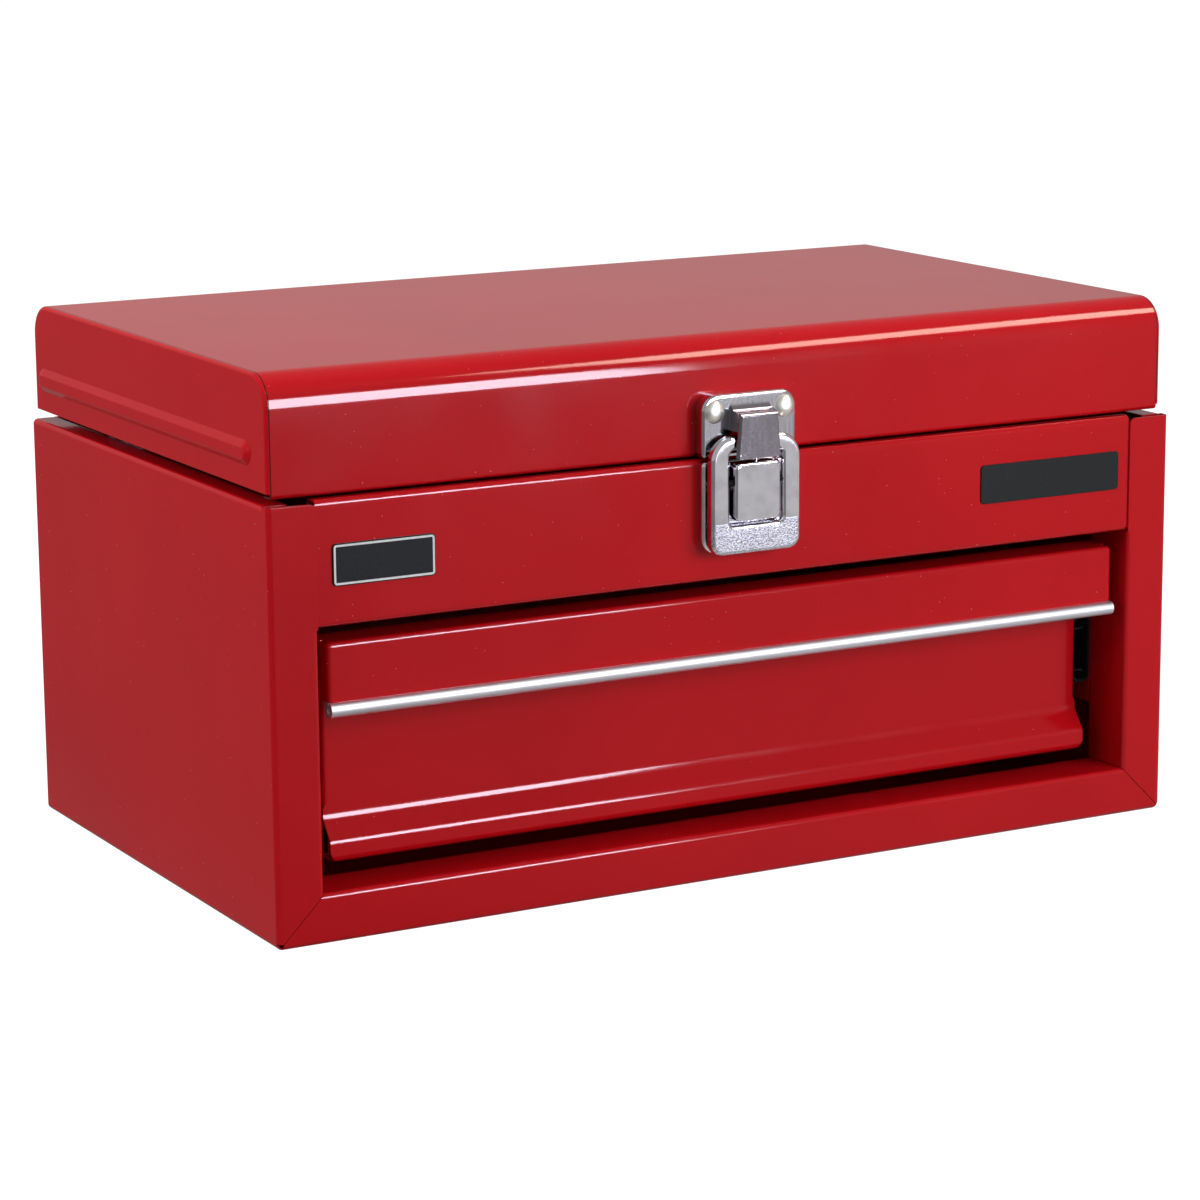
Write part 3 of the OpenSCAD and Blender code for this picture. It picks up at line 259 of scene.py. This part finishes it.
def dress(material, *names):
    """Gives these nodes their finish, and smooth light across their bends."""
    for name in names:
        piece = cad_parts[name]
        piece.data.materials.clear()
        piece.data.materials.append(material)
        piece.modifiers.new("smooth_bends", "NODES").node_group = bends
        flats = piece.modifiers.new("flat_faces", "WEIGHTED_NORMAL")
        flats.mode = "FACE_AREA"
        flats.weight = 100
        flats.keep_sharp = True


def finish_of(name, sockets):
    """A new material with its Principled shader's sockets set, and its Object coordinates."""
    material = bpy.data.materials.new(name)
    material.use_nodes = True
    tree = material.node_tree
    shader = tree.nodes["Principled BSDF"]
    for socket, value in sockets.items():
        shader.inputs[socket].default_value = value
    place = add_node(tree, "ShaderNodeTexCoord").outputs["Object"]
    return material, tree, shader, place


def noise(tree, place, scale, detail=2, stretch=None):
    """Noise of this many cells to the metre, stretched along an axis if asked."""
    if stretch:
        laid = add_node(tree, "ShaderNodeMapping", {"Scale": stretch})
        tree.links.new(place, laid.inputs["Vector"])
        place = laid.outputs["Vector"]
    made = add_node(tree, "ShaderNodeTexNoise", {"Scale": scale, "Detail": detail})
    tree.links.new(place, made.inputs["Vector"])
    return made.outputs["Fac"]


def spread(tree, value, low, high, to_low, to_high):
    """Maps a value's range onto another range."""
    made = add_node(tree, "ShaderNodeMapRange",
                    {"From Min": low, "From Max": high, "To Min": to_low, "To Max": to_high})
    tree.links.new(value, made.inputs["Value"])
    return made.outputs["Result"]


def blend(tree, amount, first, second):
    """Mixes two colours, of which each is a plain colour or an output."""
    made = add_node(tree, "ShaderNodeMix", data_type="RGBA")
    tree.links.new(amount, made.inputs["Factor"])
    for socket, colour in (("A", first), ("B", second)):
        side = [i for i in made.inputs if i.name == socket and i.type == "RGBA"][0]
        if isinstance(colour, tuple):
            side.default_value = (*colour, 1)
        else:
            tree.links.new(colour, side)
    return [o for o in made.outputs if o.type == "RGBA"][0]


def relief(tree, height, depth, below=None):
    """A bump of this depth in metres, over another one if given."""
    made = add_node(tree, "ShaderNodeBump", {"Strength": 1.0, "Distance": depth})
    tree.links.new(height, made.inputs["Height"])
    if below is not None:
        tree.links.new(below, made.inputs["Normal"])
    return made.outputs["Normal"]


def specks(tree, place, scale, radius, share):
    """1 in small round specks of this radius in cells, in a share of the cells, and 0 elsewhere."""
    cells = add_node(tree, "ShaderNodeTexVoronoi", {"Scale": scale})
    tree.links.new(place, cells.inputs["Vector"])
    split = add_node(tree, "ShaderNodeSeparateColor")
    tree.links.new(cells.outputs["Color"], split.inputs["Color"])
    size = add_node(tree, "ShaderNodeMath", {1: radius}, operation="MULTIPLY")
    tree.links.new(split.outputs["Red"], size.inputs[0])
    near = add_node(tree, "ShaderNodeMath", operation="LESS_THAN")
    tree.links.new(cells.outputs["Distance"], near.inputs[0])
    tree.links.new(size.outputs[0], near.inputs[1])
    chosen = add_node(tree, "ShaderNodeMath", {1: share}, operation="LESS_THAN")
    tree.links.new(split.outputs["Green"], chosen.inputs[0])
    made = add_node(tree, "ShaderNodeMath", operation="MULTIPLY")
    tree.links.new(near.outputs[0], made.inputs[0])
    tree.links.new(chosen.outputs[0], made.inputs[1])
    return made.outputs[0]


def enamel(name, shine, dust, seam=None, hollow=None):
    """Gloss red enamel: roughness is round shine, dust is the share of specks. If given, a line of
    painted shade for a seam runs at this distance from the middle plane, and faces towards hollow are
    flatter."""
    material, tree, shader, place = finish_of(name, {"Specular IOR Level": 0.24})
    cloud = noise(tree, place, 7, 3)
    tone = spread(tree, cloud, 0.3, 0.7, 0, 1)
    speck = specks(tree, place, 260, 0.06, dust)
    colour = blend(tree, speck, blend(tree, tone, ENAMEL_RED, ENAMEL_DEEP), DUST)
    # Painted shade: the seam's shaded gap is painted as a thin line of darker red.
    if seam:
        across = add_node(tree, "ShaderNodeSeparateXYZ")
        tree.links.new(place, across.inputs["Vector"])
        side = add_node(tree, "ShaderNodeMath", operation="ABSOLUTE")
        tree.links.new(across.outputs["X"], side.inputs[0])
        off = add_node(tree, "ShaderNodeMath", {1: seam, 2: SEAM_HALF}, operation="COMPARE")
        tree.links.new(side.outputs[0], off.inputs[0])
        colour = blend(tree, off.outputs[0], colour, SEAM_SHADE_RED)
    tree.links.new(colour, shader.inputs["Base Color"])
    smear = noise(tree, place, 22, 5)
    gloss = spread(tree, smear, 0.3, 0.75, shine - 0.02, shine + 0.04)
    if hollow:
        away = add_node(tree, "ShaderNodeVectorMath", {1: hollow}, operation="SUBTRACT")
        tree.links.new(place, away.inputs[0])
        facing = add_node(tree, "ShaderNodeVectorMath", operation="DOT_PRODUCT")
        tree.links.new(away.outputs["Vector"], facing.inputs[0])
        tree.links.new(place.node.outputs["Normal"], facing.inputs[1])
        flatter = add_node(tree, "ShaderNodeMath", operation="ADD")
        tree.links.new(gloss, flatter.inputs[0])
        tree.links.new(spread(tree, facing.outputs["Value"], -2 * MM, 0, 0.3, 0), flatter.inputs[1])
        gloss = flatter.outputs[0]
    tree.links.new(gloss, shader.inputs["Roughness"])
    edges = add_node(tree, "ShaderNodeBevel", {"Radius": EDGE_SOFT}, samples=4)
    wave = relief(tree, noise(tree, place, 9, 1), 0.03 * MM, edges.outputs["Normal"])
    peel = relief(tree, noise(tree, place, 480, 2), 0.004 * MM, wave)
    tree.links.new(peel, shader.inputs["Normal"])
    return material


outer_enamel = enamel("outer_enamel", 0.09, 0.5)
inner_enamel = enamel("inner_enamel", 0.34, 0.8)
dress(outer_enamel, "body_shell", "front_panel")
dress(inner_enamel, "rear_panel", "compartment_floor", "slide_panel_left", "slide_panel_right")


# Lid
# The lid is one bent sheet between two pressed end plates, each with a rolled edge and a long
# rib, welded in and sprayed with the case, a little flatter inside.
# Where the end plates meet the sheet, the shade in the seams is painted as a dark red line.
lid_low, lid_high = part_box("lid_cover")
lid_enamel = enamel("lid_enamel", 0.09, 0.6, seam=lid_high.x,
                    hollow=(0, (lid_low.y + lid_high.y) / 2, lid_low.z))
dress(lid_enamel, "lid_cover", "lid_end_left", "lid_end_right")


# Hinge, stay and ball retainers
# Stock parts of bright zinc-plated strip: a piano hinge, a lid stay with its two studs, and the
# retainers of the slides' balls. The plate has a fine cloudy spangle.
ZINC = (0.60, 0.62, 0.65)
ZINC_DULL = (0.44, 0.46, 0.49)

zinc, tree, shader, place = finish_of("zinc_plate", {"Metallic": 1.0})
cloud = spread(tree, noise(tree, place, 160, 4), 0.35, 0.7, 0, 1)
tree.links.new(blend(tree, cloud, ZINC, ZINC_DULL), shader.inputs["Base Color"])
tree.links.new(spread(tree, noise(tree, place, 60, 5), 0.3, 0.7, 0.24, 0.42), shader.inputs["Roughness"])
drawn = noise(tree, place, 900, 2, stretch=(1, 0.03, 1))
tree.links.new(relief(tree, drawn, 0.008 * MM), shader.inputs["Normal"])
dress(zinc, "hinge_leaf_body", "hinge_leaf_lid", "lid_stay", "stay_body_stud", "stay_lid_stud",
      "ball_retainer_left", "ball_retainer_right", "drawer_rivets")

# Slides and the catch's pin
# Both halves of each slide are rolled steel. They and the lever's pin are coloured a matt black that is
# painted shade, for the gaps they sit in, which show only darkness; the black is smeared with a little
# grease.
# Painted shade: near-black for the pieces deep in the gaps.
SHADE_BLACK = (0.008, 0.008, 0.009)
SHADE_BLACK_GREASED = (0.014, 0.013, 0.013)

shade_coat, tree, shader, place = finish_of("painted_shade_black", {"Specular IOR Level": 0.04})
smear = spread(tree, noise(tree, place, 90, 4), 0.3, 0.7, 0, 1)
tree.links.new(blend(tree, smear, SHADE_BLACK, SHADE_BLACK_GREASED), shader.inputs["Base Color"])
tree.links.new(spread(tree, smear, 0, 1, 0.70, 0.85), shader.inputs["Roughness"])
tree.links.new(relief(tree, noise(tree, place, 1200, 2), 0.004 * MM), shader.inputs["Normal"])
dress(shade_coat, "slide_rail_left", "slide_rail_right", "slide_runner_left", "slide_runner_right",
      "latch_pin")

# Balls and hinge pin
# Ground and polished steel. The balls carry a film of grease, which dulls them in patches.
BRIGHT_STEEL = (0.66, 0.66, 0.68)
GREASED_STEEL = (0.50, 0.49, 0.45)

steel, tree, shader, place = finish_of("ground_steel", {"Metallic": 1.0})
film = spread(tree, noise(tree, place, 300, 3), 0.35, 0.65, 0, 1)
tree.links.new(blend(tree, film, BRIGHT_STEEL, GREASED_STEEL), shader.inputs["Base Color"])
tree.links.new(spread(tree, film, 0, 1, 0.08, 0.24), shader.inputs["Roughness"])
tree.links.new(relief(tree, noise(tree, place, 1500, 2), 0.002 * MM), shader.inputs["Normal"])
dress(steel, "slide_balls_left", "slide_balls_right", "hinge_pin")


# Drawer
# The front is one folded sheet with its pull, and the tray is riveted behind it. Both are sprayed
# red: the front as glossy as the case, the tray a little flatter.
dress(outer_enamel, "drawer_front")
dress(inner_enamel, "drawer_tray")


# Drawer trim
# A drawn aluminium bead snapped onto the pull's lower edge, satin anodised, with the fine lines
# of its drawing along its length.
ALUMINIUM = (0.75, 0.75, 0.80)
ALUMINIUM_DULL = (0.64, 0.64, 0.68)

satin, tree, shader, place = finish_of("satin_aluminium", {"Metallic": 1.0})
lines = noise(tree, place, 700, 3, stretch=(0.012, 1, 1))
line_tone = spread(tree, lines, 0.35, 0.7, 0, 1)
tree.links.new(blend(tree, line_tone, ALUMINIUM, ALUMINIUM_DULL), shader.inputs["Base Color"])
tree.links.new(spread(tree, lines, 0.3, 0.7, 0.36, 0.46), shader.inputs["Roughness"])
tree.links.new(relief(tree, lines, 0.003 * MM), shader.inputs["Normal"])
dress(satin, "drawer_trim")


# Catch
# The ring lever, its block and its rimmed base are pressed steel with bright chrome plate: small
# waves and a fine grain from the polishing show in what it reflects.
CHROME = (0.90, 0.87, 0.92)
CHROME_DULL = (0.72, 0.70, 0.74)


def chrome_plate(name):
    """Chrome on pressed steel, with the normal of its waves and grain, not yet linked."""
    material, tree, shader, place = finish_of(name, {"Metallic": 1.0})
    bloom = spread(tree, noise(tree, place, 120, 5), 0.4, 0.75, 0, 1)
    tree.links.new(blend(tree, bloom, CHROME, CHROME_DULL), shader.inputs["Base Color"])
    smear = noise(tree, place, 90, 4)
    tree.links.new(spread(tree, smear, 0.3, 0.7, 0.03, 0.08), shader.inputs["Roughness"])
    wave = relief(tree, noise(tree, place, 70, 1), 0.02 * MM)
    return material, tree, shader, place, relief(tree, noise(tree, place, 2200, 2), 0.003 * MM, wave)


chrome, tree, shader, place, worked = chrome_plate("bright_chrome")
tree.links.new(worked, shader.inputs["Normal"])
dress(chrome, "latch_base", "latch_block")

# Lever
# The same plate on the lever. Its foot is a flat solid: the shading alone is tilted outward there,
# as the real foot is bent, and has a coarser, sparkling grain.
FOOT_LOW = 162.5 * MM
FOOT_TOP = 178.0 * MM
FOOT_FADE = 0.5 * MM
FOOT_TILT = 1.8
FOOT_GRAIN = (0.48, 0.48, 0.56)

lever_chrome, tree, shader, place, worked = chrome_plate("lever_chrome")
height = add_node(tree, "ShaderNodeSeparateXYZ")
tree.links.new(place, height.inputs["Vector"])
foot = spread(tree, height.outputs["Z"], FOOT_LOW, FOOT_TOP, 1, 0)
tilted = relief(tree, foot, (FOOT_TOP - FOOT_LOW) * tan(radians(FOOT_TILT)), worked)
on_foot = spread(tree, height.outputs["Z"], FOOT_TOP - FOOT_FADE, FOOT_TOP, 1, 0)
grains = spread(tree, noise(tree, place, 1200, 2), 0.40, 0.62, 0, 1)
sparkle = add_node(tree, "ShaderNodeMath", operation="MULTIPLY")
tree.links.new(grains, sparkle.inputs[0])
tree.links.new(on_foot, sparkle.inputs[1])
tree.links.new(relief(tree, sparkle.outputs[0], 0.05 * MM, tilted), shader.inputs["Normal"])
smooth_tone = shader.inputs["Base Color"].links[0].from_socket
tree.links.new(blend(tree, sparkle.outputs[0], smooth_tone, FOOT_GRAIN), shader.inputs["Base Color"])
dress(lever_chrome, "latch_lever")

# Strike plate and hood
# The same plating on the lid, rubbed by the lever: streaks run down the plate, and the hood is
# coloured darker than the plate, and pocked.
HOOD_ROOT_Y = -150.4 * MM
HOOD_FADE = 0.6 * MM
PLATE_BRIGHT = (0.72, 0.69, 0.73)
PLATE_RUBBED = (0.44, 0.42, 0.45)
HOOD_BRIGHT = (0.46, 0.43, 0.47)
HOOD_DARK = (0.36, 0.33, 0.37)

worn, tree, shader, place = finish_of("rubbed_chrome", {"Metallic": 1.0})
streaks = spread(tree, noise(tree, place, 420, 4, stretch=(1, 1, 0.1)), 0.35, 0.7, 0, 1)
pocks = spread(tree, noise(tree, place, 1300, 3), 0.5, 0.75, 0, 1)
depth = add_node(tree, "ShaderNodeSeparateXYZ")
tree.links.new(place, depth.inputs["Vector"])
# From its root outward the hood takes a darker colour than the plate.
on_hood = spread(tree, depth.outputs["Y"], HOOD_ROOT_Y - HOOD_FADE, HOOD_ROOT_Y, 1, 0)
plate_tone = blend(tree, streaks, PLATE_BRIGHT, PLATE_RUBBED)
hood_tone = blend(tree, pocks, HOOD_DARK, HOOD_BRIGHT)
tree.links.new(blend(tree, on_hood, plate_tone, hood_tone), shader.inputs["Base Color"])
tree.links.new(spread(tree, streaks, 0, 1, 0.06, 0.14), shader.inputs["Roughness"])
tree.links.new(relief(tree, noise(tree, place, 1400, 3), 0.004 * MM), shader.inputs["Normal"])
dress(worn, "strike_plate")

# Rivets of the catch
# Tubular rivets with domed heads in warm nickel plate, set by hammering, so a little uneven.
NICKEL = (0.84, 0.80, 0.72)
NICKEL_DULL = (0.72, 0.68, 0.60)

nickel, tree, shader, place = finish_of("warm_nickel", {"Metallic": 1.0})
warm = spread(tree, noise(tree, place, 260, 3), 0.35, 0.65, 0, 1)
tree.links.new(blend(tree, warm, NICKEL, NICKEL_DULL), shader.inputs["Base Color"])
tree.links.new(spread(tree, warm, 0, 1, 0.30, 0.38), shader.inputs["Roughness"])
tree.links.new(relief(tree, noise(tree, place, 420, 2), 0.008 * MM), shader.inputs["Normal"])
dress(nickel, "strike_rivets", "latch_base_rivets")

# Spring of the catch
# Hard-drawn wire with the dark skin of its drawing.
WIRE_DARK = (0.16, 0.16, 0.17)
WIRE_BRIGHT = (0.30, 0.29, 0.28)

wire, tree, shader, place = finish_of("spring_wire", {"Metallic": 1.0})
skin = spread(tree, noise(tree, place, 500, 3), 0.3, 0.7, 0, 1)
tree.links.new(blend(tree, skin, WIRE_DARK, WIRE_BRIGHT), shader.inputs["Base Color"])
tree.links.new(spread(tree, skin, 0, 1, 0.25, 0.42), shader.inputs["Roughness"])
tree.links.new(relief(tree, noise(tree, place, 1800, 2), 0.004 * MM), shader.inputs["Normal"])
dress(wire, "latch_spring")


# Badge plates
# Two thin plates stuck on the front panel, both left bare: at the left a moulded one with a
# silver line set in from its edge, at the right a plain dark grey one.
BADGE_THICK = 0.8 * MM
BADGE_CORNER = 2.0 * MM
BADGE_EDGE = 0.2 * MM
LINE_INSET = 0.35 * MM
LINE_WIDTH = 1.0 * MM
LINE_HEIGHT = 0.12 * MM
MOULDED_BLACK = ((0.012, 0.012, 0.013), (0.008, 0.008, 0.009))
LINE_SILVER = ((0.72, 0.72, 0.73), (0.62, 0.62, 0.63))
SPRAYED_GREY = ((0.018, 0.019, 0.019), (0.013, 0.014, 0.014))


def plate(name, x0, x1, z0, z1):
    """A thin plate with round corners and soft front edges, stuck on the front panel."""
    panel_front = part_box("front_panel")[0].y
    bpy.ops.object.select_all(action="DESELECT")
    bpy.ops.mesh.primitive_cube_add(size=1)
    made = bpy.context.object
    made.name = name
    bpy.ops.object.mode_set(mode="EDIT")
    bpy.ops.transform.resize(value=(x1 - x0, BADGE_THICK, z1 - z0))
    bpy.ops.transform.translate(value=((x0 + x1) / 2, panel_front - BADGE_THICK / 2, (z0 + z1) / 2))
    shape = bmesh.from_edit_mesh(made.data)
    for edge in shape.edges:
        ends = [v.co for v in edge.verts]
        edge.select_set(abs(ends[0].y - ends[1].y) > BADGE_THICK / 2)
    bpy.ops.mesh.bevel(offset=BADGE_CORNER, segments=8, affect="EDGES")
    for face in shape.faces:
        face.select_set(face.normal.y < -0.9)
    bpy.ops.mesh.region_to_loop()
    bpy.ops.mesh.bevel(offset=BADGE_EDGE, segments=3, affect="EDGES")
    bpy.ops.object.mode_set(mode="OBJECT")
    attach(made, "case")
    return made


def plate_finish(name, tones, rough):
    """A matt moulded or sprayed plate with a fine grain between two tones."""
    material, tree, shader, place = finish_of(name, {"Specular IOR Level": 0.05})
    grain = spread(tree, noise(tree, place, 900, 3), 0.3, 0.7, 0, 1)
    tree.links.new(blend(tree, grain, *tones), shader.inputs["Base Color"])
    tree.links.new(spread(tree, grain, 0, 1, rough, rough + 0.12), shader.inputs["Roughness"])
    tree.links.new(relief(tree, grain, 0.01 * MM), shader.inputs["Normal"])
    return material


line_badge = plate("line_badge", -218.2 * MM, -166.1 * MM, 167.5 * MM, 187.2 * MM)
line_badge.data.materials.append(plate_finish("badge_black", MOULDED_BLACK, 0.38))
line_badge.data.materials.append(plate_finish("badge_silver", LINE_SILVER, 0.30))
bpy.ops.object.mode_set(mode="EDIT")
shape = bmesh.from_edit_mesh(line_badge.data)
front = min(v.co.y for v in shape.verts)
for face in shape.faces:
    face.select_set(all(v.co.y < front + 0.01 * MM for v in face.verts))
bpy.ops.mesh.inset(thickness=LINE_INSET, depth=0)
bpy.ops.mesh.inset(thickness=LINE_WIDTH, depth=0)
shape = bmesh.from_edit_mesh(line_badge.data)
inner = [f for f in shape.faces if f.select]
ring = {f for face in inner for e in face.edges for f in e.link_faces} - set(inner)
for face in shape.faces:
    face.select_set(face in ring)
    face.material_index = 1 if face in ring else 0
bpy.ops.mesh.extrude_region_move(TRANSFORM_OT_translate={"value": (0, -LINE_HEIGHT, 0)})
bpy.ops.object.mode_set(mode="OBJECT")

plain_badge = plate("plain_badge", 135.9 * MM, 219.5 * MM, 171.0 * MM, 190.5 * MM)
plain_badge.data.materials.append(plate_finish("badge_grey", SPRAYED_GREY, 0.45))
